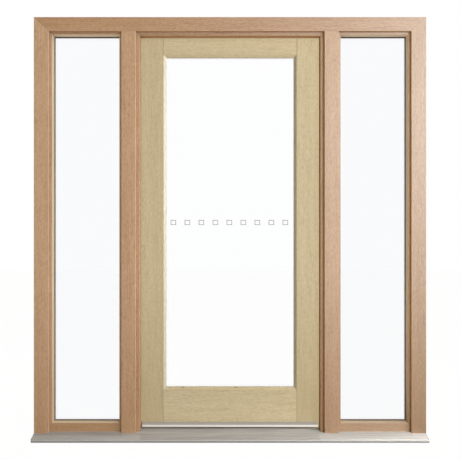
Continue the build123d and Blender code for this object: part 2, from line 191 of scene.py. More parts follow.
def mill_aluminium(name, colour, worn, die_lines, painted_facings):
    """Extruded aluminium: fine lines along X, cloudy tone, and a few dull specks. The facings listed last add
    a tone by the way a face turns, as way, axis, least slope and tone, which is painted light and shade.
    Gives the finish, with its tone, roughness, die lines and relief."""
    finish = Finish(name)
    place = finish.place()
    lines = finish.noise(finish.stretched(place, DIE_LINE_STRETCH), die_lines, 4.0, 0.6)
    bands = finish.noise(finish.stretched(place, DRAWN_BAND_STRETCH), 1.0, 3.0, 0.6)
    cloud = finish.noise(finish.stretched(place, METAL_CLOUD_STRETCH), METAL_CLOUD_SCALE, 5.0, 0.6)
    specks = finish.noise(place, SPECK_SCALE, 1.0)
    mottle = finish.noise(finish.stretched(place, METAL_CLOUD_STRETCH), MOTTLE_SCALE, 3.0, 0.7)
    speck_mask = ((specks - 0.70) * 20.0).clamped()
    tone = finish.mix((bands * 2.4 + lines * 0.4 + cloud * 0.5 - 1.15).clamped(), worn, colour)
    tone = finish.mix(speck_mask * 0.5, tone, SPECK_TONE)
    tone = finish.mix(((mottle - 0.45) * 4.0).clamped() * 0.28, tone, worn)
    # Painted light and shade: a tone by the way each face turns.
    for way, axis, least, other in painted_facings:
        slope = finish.part_of("Normal", axis) * way
        tone = finish.mix(((slope - least) * 12.0).clamped(), tone, other)
    rough = lines * 0.2 + cloud * 0.15 + MILL_ROUGHNESS
    relief = finish.bump(lines * 0.7 + cloud * 0.3, DIE_LINE_DEPTH, 0.5)
    return finish, tone, rough, lines, relief


SILL_TONE = paint(186, 183, 178)
SILL_DULL = paint(138, 134, 128)
SILL_FRONT_SHADE_TONE = paint(152, 149, 145)
SILL_UNDER_SHADE_TONE = paint(118, 114, 108)
SILL_DIE_LINES = 14.0
# The sill's front faces take painted shade, and its undersides a darker painted shade.
sill_painted_facings = ((-1.0, "Y", 0.9, SILL_FRONT_SHADE_TONE), (-1.0, "Z", 0.3, SILL_UNDER_SHADE_TONE))
sill_metal, tone, rough, lines, relief = mill_aluminium(
    "sill_mill_aluminium", SILL_TONE, SILL_DULL, SILL_DIE_LINES, sill_painted_facings
)

# Light is painted on the strip under the leaf, where the reveal shades it. The top before it in the doorway
# is darker, while the top beside the doorway is lighter towards its front edge. The nose's top edge is
# painted darker all along, as the shade of a groove, most so in the doorway, and is rougher there.
TREAD_HALF = 0.447
TREAD_FRONT = 0.0
TREAD_BACK = 0.053
TREAD_LIGHT_TONE = paint(172, 169, 164)
FRONT_LIGHTER_REACH = 0.055
FRONT_LIGHTER_TONE = paint(190, 187, 182)
SHADED_DULL_EDGE_BACK = -0.0475
SHADED_DULL_EDGE_LOW = 0.0150
EDGE_GROOVE_SHADE_TONE = paint(138, 135, 130)
SHADED_DULL_EDGE_SHARPNESS = 800.0
DOORWAY_SHARPNESS = 80.0
DOORWAY_FRONT_SHARPNESS = 60.0
depth = sill_metal.part_of("Object", "Y")
doorway = ((TREAD_HALF - abs(sill_metal.part_of("Object", "X"))) * DOORWAY_SHARPNESS).clamped()
tread_light = ((depth - TREAD_FRONT) / (TREAD_BACK - TREAD_FRONT)).clamped() * doorway
# Painted light on the strip under the leaf.
tone = sill_metal.mix(tread_light * (lines * 0.4 + 0.8).clamped(), tone, TREAD_LIGHT_TONE)
upwards = ((sill_metal.part_of("Normal", "Z") - 0.8) * 8.0).clamped()
front_lighter = ((TREAD_FRONT - depth) / FRONT_LIGHTER_REACH).clamped() * (1.0 - doorway) * upwards
tone = sill_metal.mix(front_lighter * 0.5, tone, FRONT_LIGHTER_TONE)
doorway_front_darker = ((TREAD_FRONT - depth) * DOORWAY_FRONT_SHARPNESS).clamped() * doorway * upwards
tone = sill_metal.mix(doorway_front_darker * 0.32, tone, SILL_DULL)
# Painted shade along the nose's top edge, as the shade of a groove, which is rougher there too.
in_front = ((SHADED_DULL_EDGE_BACK - depth) * SHADED_DULL_EDGE_SHARPNESS).clamped()
above = ((sill_metal.part_of("Object", "Z") - SHADED_DULL_EDGE_LOW) * SHADED_DULL_EDGE_SHARPNESS).clamped()
shaded_dull_edge = in_front * (above * (doorway * 0.4 + 0.6))
tone = sill_metal.mix(shaded_dull_edge, tone, EDGE_GROOVE_SHADE_TONE)
sill_finish = sill_metal.done(
    Base_Color=tone,
    Metallic=MILL_METAL,
    Roughness=rough + shaded_dull_edge * 0.35,
    Normal=relief,
)
dress("sill", sill_finish)
dress("sill_end_caps", sill_finish)

# The frame's members
# Jambs, head, mullions and sidelight rails are planed hardwood of a pinkish tan, worked with one stepped
# moulding. The grain runs along each piece, and the mitres and butts show as thin dark lines.

SIDELIGHT_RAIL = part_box("sidelight_rail_left")
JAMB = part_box("jamb_left")
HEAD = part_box("head")
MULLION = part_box("mullion_left")
FRAME_TOP = HEAD[1][2]
HALF_WIDTH = HEAD[1][0]
MOULDING = 0.0205
GLAZED_MOULDING = 0.0155
JAMB_EDGE = abs(JAMB[1][0]) + GLAZED_MOULDING
HEAD_EDGE = HEAD[0][2] + MOULDING
DOOR_EDGE = abs(MULLION[1][0]) + MOULDING
SIDE_EDGE = abs(MULLION[0][0]) - GLAZED_MOULDING
SILL_EDGE = SIDELIGHT_RAIL[1][2] - GLAZED_MOULDING
TURN_ALONG = {"X": (0, -math.pi / 2, 0), "Z": (0, 0, 0)}
PIECE_STEP = (1.37, 0.83, 2.91)
STOP_FRONT = 0.0184
STOP_BACK = 0.0515
STOP_TOP = 2.0600
WALL_BACK = 0.0570
ARRIS_BACK = 0.0040
ARRIS_TURN = 0.3
ARRIS_SHARPNESS = 6.0
WALL_TURN = 0.6
WALL_SHARPNESS = 4.0
EDGE_SHARPNESS = 4000.0
EDGE_SLACK = 0.0005
JOINT_WIDTH = 0.0018
GRAIN_WANDER = (5, 5, 1.3)
GRAIN_BROAD = (26, 26, 0.9)
GRAIN_STREAKS = (150, 150, 9)
GRAIN_DASHES = (290, 290, 56)
GRAIN_FIBRES = (900, 900, 40)
GRAIN_PORES = (1500, 1500, 90)
GRAIN_FLECK = (60, 14, 210)
END_GRAIN = (500, 500, 500)
GRAIN_BEND = 0.014
GRAIN_DEPTH = 0.0004
KNOT_TONE = paint(132, 78, 48)


def darker(colour, share):
    """The same colour with a share of its light."""
    return tuple(share * part for part in colour[:3]) + (1.0,)


def joint_shade(finish, joints):
    """1 away from the joints and 0 on them. A joint is two points (x, z) on the elevation."""
    x = finish.part_of("Object", "X")
    z = finish.part_of("Object", "Z")
    shade = None
    for (x0, z0), (x1, z1) in joints:
        length = math.hypot(x1 - x0, z1 - z0)
        across = (z1 - z0) / length
        along = (x1 - x0) / length
        distance = abs((x - x0) * across - (z - z0) * along)
        past = abs((x - x0) * along + (z - z0) * across - length / 2) - length / 2
        near = (distance.maths("MAXIMUM", distance, past) / JOINT_WIDTH).clamped()
        shade = near if shade is None else shade * near
    return shade


def painted_stop_light(finish):
    """1 on the splayed glazing stops round the sidelights, where light is painted, and 0 elsewhere."""
    across = abs(finish.part_of("Object", "X"))
    depth = finish.part_of("Object", "Y")
    sideways = ((across - (SIDE_EDGE - EDGE_SLACK)) * EDGE_SHARPNESS).clamped()
    inside = ((JAMB_EDGE + EDGE_SLACK - across) * EDGE_SHARPNESS).clamped()
    behind_face = ((depth - STOP_FRONT) * EDGE_SHARPNESS).clamped()
    before_glass = ((STOP_BACK - depth) * EDGE_SHARPNESS).clamped()
    under_head = ((STOP_TOP - finish.part_of("Object", "Z")) * EDGE_SHARPNESS).clamped()
    return behind_face * before_glass * sideways * inside * under_head


def arris_light(finish, axis, way):
    """1 on the face's rounded arrises that turn one way along an axis, where a highlight is painted, and 0
    elsewhere.
    """
    sideways = ((finish.part_of("Normal", axis) * way - ARRIS_TURN) * ARRIS_SHARPNESS).clamped()
    forwards = ((finish.part_of("Normal", "Y") * -1.0 - ARRIS_TURN) * ARRIS_SHARPNESS).clamped()
    at_face = ((ARRIS_BACK - finish.part_of("Object", "Y")) * EDGE_SHARPNESS).clamped()
    return sideways * forwards * at_face


def shaded_wall(finish):
    """1 on the moulding's walls that face left, before the leaf and the glass, and 0 elsewhere."""
    depth = finish.part_of("Object", "Y")
    leftwards = ((finish.part_of("Normal", "X") * -1.0 - WALL_TURN) * WALL_SHARPNESS).clamped()
    behind_face = ((depth - ARRIS_BACK) * EDGE_SHARPNESS).clamped()
    before_leaf = ((WALL_BACK - depth) * EDGE_SHARPNESS).clamped()
    return leftwards * behind_face * before_leaf


def timber(
    name,
    tones,
    along,
    number,
    joints=(),
    joint_depth=0.3,
    fleck=0.0,
    knots=(),
    stops=False,
    foot=(),
    arris_highlight=None,
    shaded=0.0,
):
    """Planed hardwood with its grain along X or Z. tones are the dark streak, body and light streak, and
    number tells one piece's grain from the next. knots are places, widths and heights on the elevation, and
    stops asks for painted light on the glazing stops. foot lists changes of tone below a height, as height,
    reach, share and tone, which paint shade and shadow. The arrises that take a painted highlight face the
    way given as axis, way and share, and shaded is how far the walls that face left are painted towards their
    shade."""
    dark, body, light = tones
    finish = Finish(name)
    offset = tuple(step * number for step in PIECE_STEP)
    place = finish.place(offset, TURN_ALONG[along])
    wander = finish.noise(finish.stretched(place, GRAIN_WANDER), 1.0, 2.0)
    bend = finish.node("ShaderNodeCombineXYZ", None, {"X": wander * GRAIN_BEND, "Y": wander * GRAIN_BEND})
    bent = finish.node("ShaderNodeVectorMath", {"operation": "ADD"}, {0: place, 1: bend})
    broad = finish.noise(finish.stretched(bent, GRAIN_BROAD), 1.0, 3.0, 0.55)
    streaks = finish.noise(finish.stretched(bent, GRAIN_STREAKS), 1.0, 4.0, 0.6)
    dashes = finish.noise(finish.stretched(bent, GRAIN_DASHES), 1.0, 2.0, 0.6)
    fibres = finish.noise(finish.stretched(bent, GRAIN_FIBRES), 1.0, 2.0, 0.6)
    pores = finish.noise(finish.stretched(bent, GRAIN_PORES), 1.0, 1.0)
    cloud = finish.noise(place, 3.0, 2.0)
    figure = (broad * 0.16 + streaks * 0.30 + dashes * 0.44 + fibres * 0.18 - 0.04).clamped()
    colour = finish.ramp(figure, [(0.36, dark), (0.5, body), (0.64, light)])
    colour = finish.mix((cloud - 0.35).clamped() * 0.3, colour, dark)
    pore_mask = ((0.42 - pores) * 9.0).clamped()
    colour = finish.mix(pore_mask * 0.34, colour, darker(dark, 0.45))
    if fleck:
        rays = finish.noise(finish.stretched(place, GRAIN_FLECK), 1.0, 2.0, 0.5)
        ray_mask = ((rays - 0.6) * 8.0).clamped() * fleck
        colour = finish.mix(ray_mask, colour, light)
    for x, z, width, height in knots:
        where = finish.place((-x / width, 0, -z / height), (0, 0, 0), (1 / width, 0, 1 / height))
        reach = finish.node("ShaderNodeVectorMath", {"operation": "LENGTH"}, {0: where}, output="Value")
        colour = finish.mix((1.3 - reach).clamped() * 0.75, colour, KNOT_TONE)
    end = abs(finish.part_of("Normal", along))
    end_mask = ((end - 0.8) * 8.0).clamped()
    ends = finish.noise(finish.stretched(place, END_GRAIN), 1.0, 2.0)
    end_tone = finish.mix(ends, darker(dark, 0.5), body)
    colour = finish.mix(end_mask * 0.7, colour, end_tone)
    if shaded:
        colour = finish.mix(shaded_wall(finish) * shaded, colour, WALL_SHADE)
    # Painted light: the glazing stops are made paler.
    if stops:
        pale = finish.mix(figure * 0.3, STOP_LIGHT_PAINT, colour)
        colour = finish.mix(painted_stop_light(finish) * 0.8, colour, pale)
    # Painted highlight on the arrises.
    if arris_highlight:
        axis, way, share = arris_highlight
        colour = finish.mix(arris_light(finish, axis, way) * share, colour, ARRIS_HIGHLIGHT)
    if joints:
        shade = joint_shade(finish, joints)
        colour = finish.mix((1.0 - shade) * joint_depth, colour, darker(dark, 0.3))
    # Changes of tone by height: painted shade at the foot and the top, and a painted shadow at the leaf's
    # foot.
    for height, reach, share, tone in foot:
        below = ((height - finish.part_of("Object", "Z")) / reach).clamped()
        colour = finish.mix(below * share, colour, tone)
    height = fibres * 0.35 + streaks * 0.25 - pore_mask * 0.6
    planed = finish.shader(
        Base_Color=colour,
        Roughness=0.64 - figure * 0.14 + pore_mask * 0.12,
        Specular_IOR_Level=0.32,
        Normal=finish.bump(height, GRAIN_DEPTH, 0.55),
    )
    sawn = finish.shader(Base_Color=colour, Roughness=1.0, Specular_IOR_Level=0.0)
    edge_on = ((0.6 - abs(finish.part_of("Normal", "Y"))) * 4.0).clamped() * 0.6
    return finish.node_output(finish.node("ShaderNodeMixShader", None, {0: edge_on, 1: planed, 2: sawn}))


FRAME_TONES = (paint(146, 111, 78), paint(170, 135, 101), paint(184, 151, 119))
# Lit and shaded copies of the frame's tones: the left pieces are lighter and bluer, as painted sheen, and the
# right jamb is darker, as painted shade.
LEFT_SHEEN_TONES = (paint(154, 121, 91), paint(179, 146, 115), paint(193, 162, 133))
RIGHT_JAMB_SHADED_TONES = (paint(141, 107, 72), paint(166, 131, 95), paint(182, 148, 114))
HEAD_TONES = (paint(135, 99, 64), paint(157, 121, 87), paint(171, 136, 101))
RAIL_TONES = (paint(150, 119, 87), paint(170, 139, 107), paint(183, 153, 122))
JAMB_TONES = {"left": LEFT_SHEEN_TONES, "right": RIGHT_JAMB_SHADED_TONES}
MULLION_TONES = {"left": LEFT_SHEEN_TONES, "right": FRAME_TONES}
# Painted light on the glazing stops, on the right mullion but not the left.
STOP_LIGHT_PAINT = paint(220, 203, 178)
MULLION_LIT_STOPS = {"left": False, "right": True}
# Painted highlights on the arrises, strongest on the left pieces, and on the head's lower arrises.
ARRIS_HIGHLIGHT = paint(240, 210, 178)
ARRIS_HIGHLIGHT_SHARES = {"left": 0.9, "right": 0.25}
HEAD_ARRIS_HIGHLIGHT = ("Z", -1.0, 0.4)
WALL_SHADE = paint(144, 106, 54)
JAMB_SHADED = {"left": 0.0, "right": 0.75}
MULLION_SHADED = {"left": 0.0, "right": 1.0}
# Painted shade, darker towards the foot.
FRAME_FOOT_SHADE_TONE = paint(132, 97, 64)
FRAME_FOOT_SHADE = ((0.75, 0.75, 0.42, FRAME_FOOT_SHADE_TONE),)


def corner_joints(side):
    """The mitre at the head's outer corner and the moulding's mitre inside it, on one side of the door."""
    face_corner = (side * JAMB_EDGE, HEAD_EDGE)
    return [
        ((side * HALF_WIDTH, FRAME_TOP), face_corner),
        (face_corner, (side * (JAMB_EDGE - MOULDING), HEAD_EDGE - MOULDING)),
    ]


def mullion_joints(side):
    """The butt under the head and the mitres of the moulding on both sides of a mullion."""
    door_corner = (side * DOOR_EDGE, HEAD_EDGE)
    side_corner = (side * SIDE_EDGE, HEAD_EDGE)
    return [
        (side_corner, door_corner),
        (door_corner, (side * (DOOR_EDGE - MOULDING), HEAD_EDGE - MOULDING)),
        (side_corner, (side * (SIDE_EDGE + MOULDING), HEAD_EDGE - MOULDING)),
    ]


def rail_joints(side):
    """The ends of a sidelight's rail, where it meets the jamb and the mullion."""
    joints = []
    for edge, inwards in ((JAMB_EDGE, -1), (SIDE_EDGE, 1)):
        foot = (side * edge, SILL_EDGE)
        joints.append((foot, (side * edge, 0.0)))
        joints.append((foot, (side * (edge + inwards * MOULDING), SILL_EDGE + MOULDING)))
    return joints


for number, (word, side) in enumerate((("left", -1), ("right", 1))):
    lit = ("X", 1.0, ARRIS_HIGHLIGHT_SHARES[word])
    jamb = timber(
        f"jamb_{word}_oak",
        JAMB_TONES[word],
        "Z",
        1 + number,
        corner_joints(side),
        stops=True,
        foot=FRAME_FOOT_SHADE,
        arris_highlight=lit,
        shaded=JAMB_SHADED[word],
    )
    dress(f"jamb_{word}", jamb)
    mullion = timber(
        f"mullion_{word}_oak",
        MULLION_TONES[word],
        "Z",
        3 + number,
        mullion_joints(side),
        stops=MULLION_LIT_STOPS[word],
        foot=FRAME_FOOT_SHADE,
        arris_highlight=lit,
        shaded=MULLION_SHADED[word],
    )
    dress(f"mullion_{word}", mullion)
    ends = rail_joints(side)
    rail = timber(
        f"sidelight_rail_{word}_oak", RAIL_TONES, "X", 5 + number, ends, stops=True, foot=FRAME_FOOT_SHADE
    )
    dress(f"sidelight_rail_{word}", rail)
head_ends = corner_joints(-1) + corner_joints(1) + mullion_joints(-1) + mullion_joints(1)
dress("head", timber("head_oak", HEAD_TONES, "X", 7, head_ends, stops=True, arris_highlight=HEAD_ARRIS_HIGHLIGHT))

# The sidelights' glass
# Each sidelight has two clear panes held apart by a dark spacer bar, whose edge shows as a thin line past
# the moulding, and oak beads that hold the unit from the inside.

GLASS_IOR = 1.45


def clear_glass(name, tint):
    """Clear float glass that lets the lamps through to what is behind it."""
    finish = Finish(name)
    pane = finish.shader(Base_Color=tint, Roughness=0.0, IOR=GLASS_IOR, Transmission_Weight=1.0)
    through = finish.node("ShaderNodeBsdfTransparent", None, {"Color": tint}, output="BSDF")
    to_lamp = finish.node("ShaderNodeLightPath", output="Is Shadow Ray")
    return finish.node_output(finish.node("ShaderNodeMixShader", None, {0: to_lamp, 1: pane, 2: through}))


SIDELIGHT_TINT = (0.975, 0.979, 0.984, 1.0)
SPACER_DARK = paint(84, 72, 58)
SPACER_LIGHT = paint(106, 96, 84)
pane_glass = clear_glass("clear_float_glass", SIDELIGHT_TINT)
spacer = Finish("spacer_bar_dark")
spacer_grain = spacer.noise(spacer.place(), 60.0, 3.0)
spacer_material = spacer.done(
    Base_Color=spacer.mix(spacer_grain, SPACER_DARK, SPACER_LIGHT),
    Roughness=spacer_grain * 0.1 + 0.85,
    Specular_IOR_Level=0.0,
)
for number, word in enumerate(("left", "right")):
    dress(f"sidelight_outer_pane_{word}", pane_glass)
    dress(f"sidelight_inner_pane_{word}", pane_glass)
    dress(f"sidelight_spacer_{word}", spacer_material)
    upright_beads = timber(f"upright_beads_{word}_oak", FRAME_TONES, "Z", 8 + number)
    dress(f"sidelight_upright_beads_{word}", upright_beads)
    level_beads = timber(f"level_beads_{word}_oak", FRAME_TONES, "X", 10 + number)
    dress(f"sidelight_level_beads_{word}", level_beads)

# The leaf's stiles, rails and beads
# Paler, yellower oak than the frame: two full-height stiles with the rails between them, and a sloped bead
# mitred round the glass. Two small red knots show on the bead along the bottom rail.

LEAF_TONES = (paint(162, 147, 115), paint(179, 164, 132), paint(190, 176, 145))
# The outer upright beads take a darker copy of the leaf's tones, as painted shade.
OUTER_BEAD_SHADED_TONES = (paint(142, 131, 104), paint(158, 147, 119), paint(170, 159, 132))
LEAF_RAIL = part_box("leaf_bottom_rail")
LEAF_TOP_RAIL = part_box("leaf_top_rail")
STILE_EDGE = LEAF_RAIL[1][0]
GLASS_FOOT = LEAF_RAIL[1][2]
GLASS_TOP = LEAF_TOP_RAIL[0][2]
BEAD = 0.0157
LEAF_TOP = LEAF_TOP_RAIL[1][2]
stile_joints = []
for side in (-1, 1):
    stile_joints.append(((side * STILE_EDGE, 0.0), (side * STILE_EDGE, GLASS_FOOT)))
    stile_joints.append(((side * STILE_EDGE, GLASS_TOP), (side * STILE_EDGE, LEAF_TOP)))
bead_joints = []
for side in (-1, 1):
    for level, inwards in ((GLASS_FOOT, 1), (GLASS_TOP, -1)):
        corner = (side * STILE_EDGE, level)
        bead_joints.append((corner, (side * (STILE_EDGE - BEAD), level + inwards * BEAD)))
# A painted shadow at the leaf's foot under the rain deflector, and painted shade lower down the stiles and
# along the leaf's top.
DEFLECTOR_SHADOW_TONE = paint(104, 92, 76)
DEFLECTOR_SHADOW_TOP = 0.0480
DEFLECTOR_SHADOW_BLUR = 0.0008
LEAF_SHADE_TONE = paint(150, 134, 98)
LEAF_JOINT = 0.9
STILE_FLECK = 0.3
RAIL_FLECK = 0.2
DEFLECTOR_SHADOW_FOOT = (DEFLECTOR_SHADOW_TOP, DEFLECTOR_SHADOW_BLUR, 0.85, DEFLECTOR_SHADOW_TONE)
LEAF_FOOT_SHADE = (0.75, 0.6, 0.42, LEAF_SHADE_TONE)
SHADED_TOP = (LEAF_TOP - 0.024, -0.02, 0.3, LEAF_SHADE_TONE)
KNOT_HEIGHT = GLASS_FOOT + 0.012
FOOT_KNOTS = ((-0.2378, KNOT_HEIGHT, 0.007, 0.0035), (0.0294, KNOT_HEIGHT, 0.008, 0.003))
STILE_CHANGES = (DEFLECTOR_SHADOW_FOOT, LEAF_FOOT_SHADE, SHADED_TOP)
for name, along, number, fleck, changes in (
    ("hinge_stile", "Z", 12, STILE_FLECK, STILE_CHANGES),
    ("closing_stile", "Z", 13, STILE_FLECK, STILE_CHANGES),
    ("top_rail", "X", 14, RAIL_FLECK, (SHADED_TOP,)),
    ("bottom_rail", "X", 15, RAIL_FLECK, (DEFLECTOR_SHADOW_FOOT,)),
):
    oak = timber(f"{name}_oak", LEAF_TONES, along, number, stile_joints, LEAF_JOINT, fleck, foot=changes)
    dress(f"leaf_{name}", oak)
for name, tones, along, number, knots in (
    ("outer_upright_beads", OUTER_BEAD_SHADED_TONES, "Z", 16, ()),
    ("inner_upright_beads", LEAF_TONES, "Z", 17, ()),
    ("outer_level_beads", LEAF_TONES, "X", 18, FOOT_KNOTS),
    ("inner_level_beads", LEAF_TONES, "X", 19, ()),
):
    dress(f"leaf_{name}", timber(f"{name}_oak", tones, along, number, bead_joints, knots=knots))

# The leaf's glass and its row of etched squares
# One large double-glazed unit. Nine small square outlines are etched in a row across the outer pane at
# about half height, evenly spaced on the middle line.

LEAF_TINT = (0.992, 0.994, 0.995, 1.0)
leaf_glass = clear_glass("leaf_float_glass", LEAF_TINT)
dress("leaf_outer_pane", leaf_glass)
dress("leaf_inner_pane", leaf_glass)
dress("leaf_spacer", spacer_material)

SQUARES = 9
SQUARE_PITCH = 0.071
SQUARE_WIDTH = 0.0242
SQUARE_RISE = 0.0222
SQUARE_LINE = 0.0038
SQUARE_FILM = 0.0006
SQUARE_HEIGHT = 1.0800
SQUARE_SHIFT = -0.0032
PANE_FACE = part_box("leaf_outer_pane")[0][1]


def nodes_for(name, inputs):
    """An empty Geometry Nodes tree with named inputs, and its two end nodes."""
    tree = bpy.data.node_groups.new(name, "GeometryNodeTree")
    tree.interface.new_socket("Geometry", in_out="INPUT", socket_type="NodeSocketGeometry")
    tree.interface.new_socket("Geometry", in_out="OUTPUT", socket_type="NodeSocketGeometry")
    for label, kind in inputs:
        tree.interface.new_socket(label, in_out="INPUT", socket_type=kind)
    start = tree.nodes.new("NodeGroupInput")
    end = tree.nodes.new("NodeGroupOutput")
    return tree, start, end


def add(tree, kind, settings=None, sockets=None):
    """One node, with its settings set before its sockets are given values or links."""
    made = tree.nodes.new(kind)
    for name, value in (settings or {}).items():
        setattr(made, name, value)
    for key, value in (sockets or {}).items():
        if isinstance(value, bpy.types.NodeSocket):
            tree.links.new(value, made.inputs[key])
        else:
            made.inputs[key].default_value = value
    return made


def grown(name, mesh, tree, values):
    """A plain mesh object from a Geometry Nodes tree run on a mesh."""
    seed = bpy.data.objects.new(name + "_seed", mesh)
    bpy.context.scene.collection.objects.link(seed)
    modifier = seed.modifiers.new("grow", "NODES")
    modifier.node_group = tree
    for item in tree.interface.items_tree:
        if item.in_out == "INPUT" and item.name in values:
            modifier[item.identifier] = values[item.name]
    bpy.context.view_layer.update()
    evaluated = seed.evaluated_get(bpy.context.evaluated_depsgraph_get())
    plain = bpy.data.meshes.new_from_object(evaluated)
    plain.name = name
    bpy.data.objects.remove(seed)
    piece = bpy.data.objects.new(name, plain)
    bpy.context.scene.collection.objects.link(piece)
    return piece


ETCHED_DARK = paint(112, 103, 88)
ETCHED_LIGHT = paint(136, 128, 114)
etched = Finish("etched_line")
etched_grain = etched.noise(etched.place(), 900.0, 2.0)
etched_material = etched.done(
    Base_Color=etched.mix(etched_grain, ETCHED_DARK, ETCHED_LIGHT),
    Roughness=etched_grain * 0.15 + 0.75,
)

row_sizes = [(label, "NodeSocketFloat") for label in ("Pitch", "Width", "Rise", "Line", "Film")]
row, start, end = nodes_for("etched_row", [("Count", "NodeSocketInt")] + row_sizes)
step = add(row, "ShaderNodeCombineXYZ", None, {"X": start.outputs["Pitch"]})
line = add(row, "GeometryNodeMeshLine", None, {"Count": start.outputs["Count"], "Offset": step.outputs[0]})
path_sizes = {"Width": start.outputs["Width"], "Height": start.outputs["Rise"]}
path = add(row, "GeometryNodeCurvePrimitiveQuadrilateral", None, path_sizes)
stroke_sizes = {"Width": start.outputs["Line"], "Height": start.outputs["Film"]}
stroke = add(row, "GeometryNodeCurvePrimitiveQuadrilateral", None, stroke_sizes)
curves = {"Curve": path.outputs[0], "Profile Curve": stroke.outputs[0], "Fill Caps": True}
outline = add(row, "GeometryNodeCurveToMesh", None, curves)
upright = {"Geometry": outline.outputs[0], "Rotation": (math.pi / 2, 0, 0)}
stood = add(row, "GeometryNodeTransform", None, upright)
at_points = {"Points": line.outputs[0], "Instance": stood.outputs[0]}
copies = add(row, "GeometryNodeInstanceOnPoints", None, at_points)
real = add(row, "GeometryNodeRealizeInstances", None, {"Geometry": copies.outputs[0]})
etched_row = {"Geometry": real.outputs[0], "Material": etched_material}
finished = add(row, "GeometryNodeSetMaterial", None, etched_row)
row.links.new(finished.outputs[0], end.inputs[0])
squares = grown(
    "etched_squares",
    bpy.data.meshes.new("etched_row_seed"),
    row,
    {
        "Count": SQUARES,
        "Pitch": SQUARE_PITCH,
        "Width": SQUARE_WIDTH,
        "Rise": SQUARE_RISE,
        "Line": SQUARE_LINE,
        "Film": SQUARE_FILM,
    },
)
row_start = SQUARE_SHIFT - SQUARE_PITCH * (SQUARES - 1) / 2
first_square = (row_start, PANE_FACE - SQUARE_FILM / 2, SQUARE_HEIGHT)
for corner in squares.data.vertices:
    corner.co += Vector(first_square)
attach(squares, "leaf")

# The rain deflector
# A bright extruded aluminium strip screwed across the leaf's foot. Its sloped nose throws water clear of
# the gap over the sill.

DEFLECTOR_TONE = paint(180, 176, 170)
DEFLECTOR_DULL = paint(164, 160, 154)
DEFLECTOR_TOP_SHADE_TONE = paint(165, 162, 157)
DEFLECTOR_LIP_HIGHLIGHT_TONE = paint(200, 198, 193)
DEFLECTOR_DIE_LINES = 22.0
# The deflector's upward faces take painted shade and its front lip a painted highlight.
deflector_painted_facings = ((1.0, "Z", 0.3, DEFLECTOR_TOP_SHADE_TONE), (-1.0, "Y", 0.8, DEFLECTOR_LIP_HIGHLIGHT_TONE))
deflector_metal, tone, rough, lines, relief = mill_aluminium(
    "deflector_bright_aluminium", DEFLECTOR_TONE, DEFLECTOR_DULL, DEFLECTOR_DIE_LINES, deflector_painted_facings
)
deflector_finish = deflector_metal.done(
    Base_Color=tone,
    Metallic=MILL_METAL,
    Roughness=rough,
    Normal=relief,
)
dress("leaf_rain_deflector", deflector_finish)

# The hinges
# Three steel butt hinges hang the leaf on its inside edge. Each flap is let in flush and held by
# countersunk screws with a cross recess.

HINGE_DARK = paint(168, 166, 160)
HINGE_LIGHT = paint(202, 200, 195)
BRUSH_STRETCH = (300, 300, 20)
BRUSH_DEPTH = 0.0002
hinge_steel = Finish("hinge_satin_steel")
hinge_brush = hinge_steel.noise(hinge_steel.stretched(hinge_steel.place(), BRUSH_STRETCH), 1.0, 3.0)
hinge_material = hinge_steel.done(
    Base_Color=hinge_steel.mix(hinge_brush, HINGE_DARK, HINGE_LIGHT),
    Metallic=1.0,
    Roughness=hinge_brush * 0.25 + 0.25,
    Normal=hinge_steel.bump(hinge_brush, BRUSH_DEPTH, 0.4),
)
for name in ("hinge_frame_flaps", "hinge_leaf_flaps", "hinge_pins"):
    dress(name, hinge_material)

HINGE_HEIGHT = 0.100
PIN_BUTTON = 0.003
FLAP_GAP = 0.0050
SCREW_RADIUS = 0.0042
SCREW_HEAD = 0.0006
SCREW_SLOT = 0.0011
SCREW_SIDES = 20
SLOT_REACH = 1.2
SCREW_RISES = (0.014, 0.038, 0.062, 0.086)
SCREW_DEPTHS = (0.011, 0.024)
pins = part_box("hinge_pins")
pin_middle = (pins[0][0] + pins[1][0]) / 2
lowest_foot = pins[0][2] + PIN_BUTTON
highest_foot = pins[1][2] - PIN_BUTTON - HINGE_HEIGHT
hinge_feet = (lowest_foot, (lowest_foot + highest_foot) / 2, highest_foot)

screw_sizes = [(label, "NodeSocketFloat") for label in ("Radius", "Head", "Slot")]
screw, start, end = nodes_for("countersunk_screws", screw_sizes)
radius = start.outputs["Radius"]
head = start.outputs["Head"]
slot = start.outputs["Slot"]
disc_sizes = {"Vertices": SCREW_SIDES, "Radius": radius, "Depth": head}
disc = add(screw, "GeometryNodeMeshCylinder", None, disc_sizes)
reach = add(screw, "ShaderNodeMath", {"operation": "MULTIPLY"}, {0: radius, 1: SLOT_REACH}).outputs[0]
rise = add(screw, "ShaderNodeMath", {"operation": "MULTIPLY"}, {0: head, 1: 0.5}).outputs[0]
lift = add(screw, "ShaderNodeCombineXYZ", None, {"Z": rise}).outputs[0]
recessed = add(screw, "GeometryNodeMeshBoolean", {"operation": "DIFFERENCE"}, {"Mesh 1": disc.outputs[0]})
for width, depth in ((reach, slot), (slot, reach)):
    size = add(screw, "ShaderNodeCombineXYZ", None, {"X": width, "Y": depth, "Z": head})
    bar = add(screw, "GeometryNodeMeshCube", None, {"Size": size.outputs[0]})
    raised = add(screw, "GeometryNodeTransform", None, {"Geometry": bar.outputs[0], "Translation": lift})
    screw.links.new(raised.outputs[0], recessed.inputs["Mesh 2"])
turned = {"Geometry": recessed.outputs[0], "Rotation": (0, math.pi / 2, 0)}
faced = add(screw, "GeometryNodeTransform", None, turned)
spots = add(screw, "GeometryNodeMeshToPoints", None, {"Mesh": start.outputs["Geometry"]})
at_spots = {"Points": spots.outputs[0], "Instance": faced.outputs[0]}
heads = add(screw, "GeometryNodeInstanceOnPoints", None, at_spots)
real = add(screw, "GeometryNodeRealizeInstances", None, {"Geometry": heads.outputs[0]})
screw_heads = {"Geometry": real.outputs[0], "Material": hinge_material}
